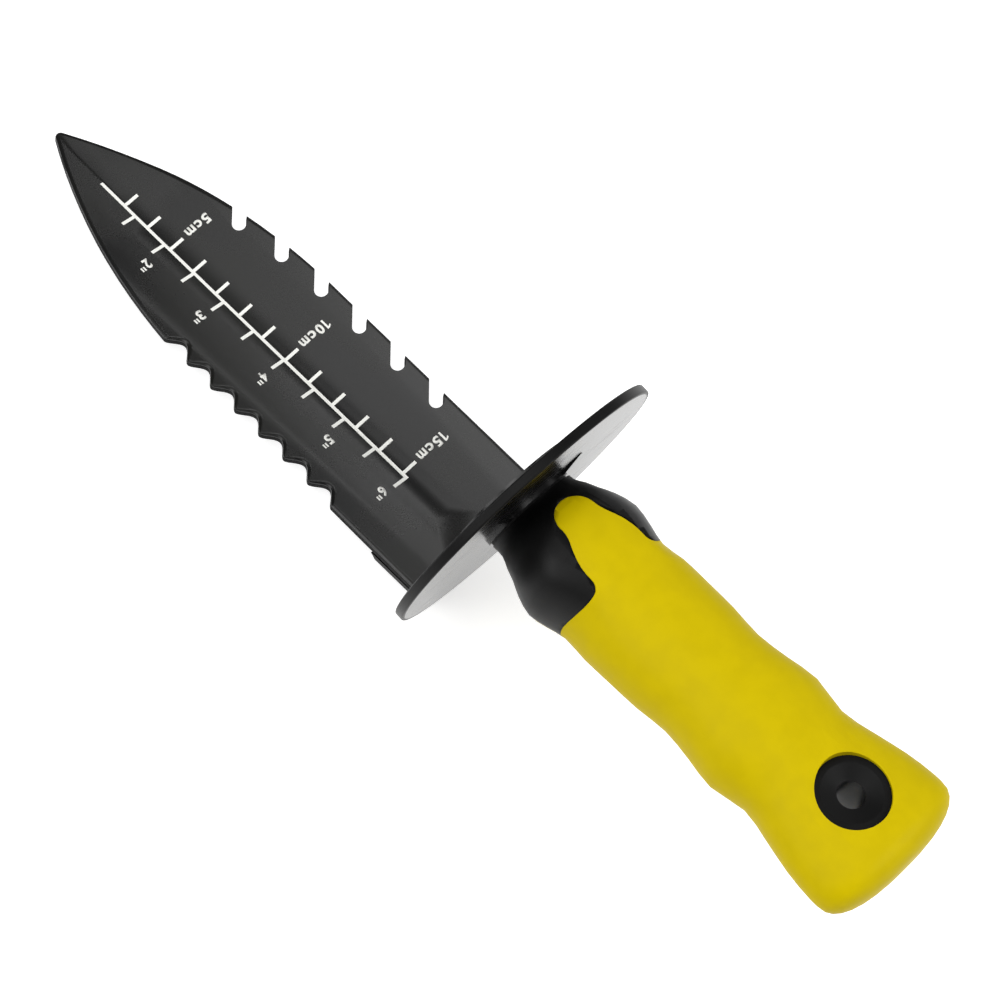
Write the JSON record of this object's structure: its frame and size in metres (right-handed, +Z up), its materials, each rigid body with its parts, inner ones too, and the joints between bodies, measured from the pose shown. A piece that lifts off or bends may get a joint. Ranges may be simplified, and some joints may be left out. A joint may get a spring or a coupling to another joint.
{
  "type": "hand trowel",
  "caption": "Hand trowel with a pointed, dished blade that is saw-cut along one edge and wavy along the other, a round hand guard and an overmoulded handle with a hanging hole.",
  "frame": {"origin": "where the handle axis meets the front face of the guard", "axes": "+X along the handle axis toward the tip of the blade, +Z up on the hollow side of the blade, the saw edge on -Y"},
  "size_m": [0.3406, 0.094, 0.0937],
  "materials": {
    "blade_steel": "satin black coating on pressed steel, with a printed white scale",
    "guard_plastic": "polished black moulding",
    "seal_rubber": "black rubber",
    "core_nylon": "satin black nylon",
    "pin_steel": "zinc-plated steel",
    "grip_rubber": "yellow soft-touch rubber",
    "eyelet_nylon": "satin black nylon"
  },
  "bodies": {
    "root": {"blade": "blade_steel", "guard": "guard_plastic", "seal_ring": "seal_rubber", "core": "core_nylon", "tang_pins": "pin_steel", "grip": "grip_rubber", "hang_eyelet": "eyelet_nylon"}
  },
  "joints": []
}
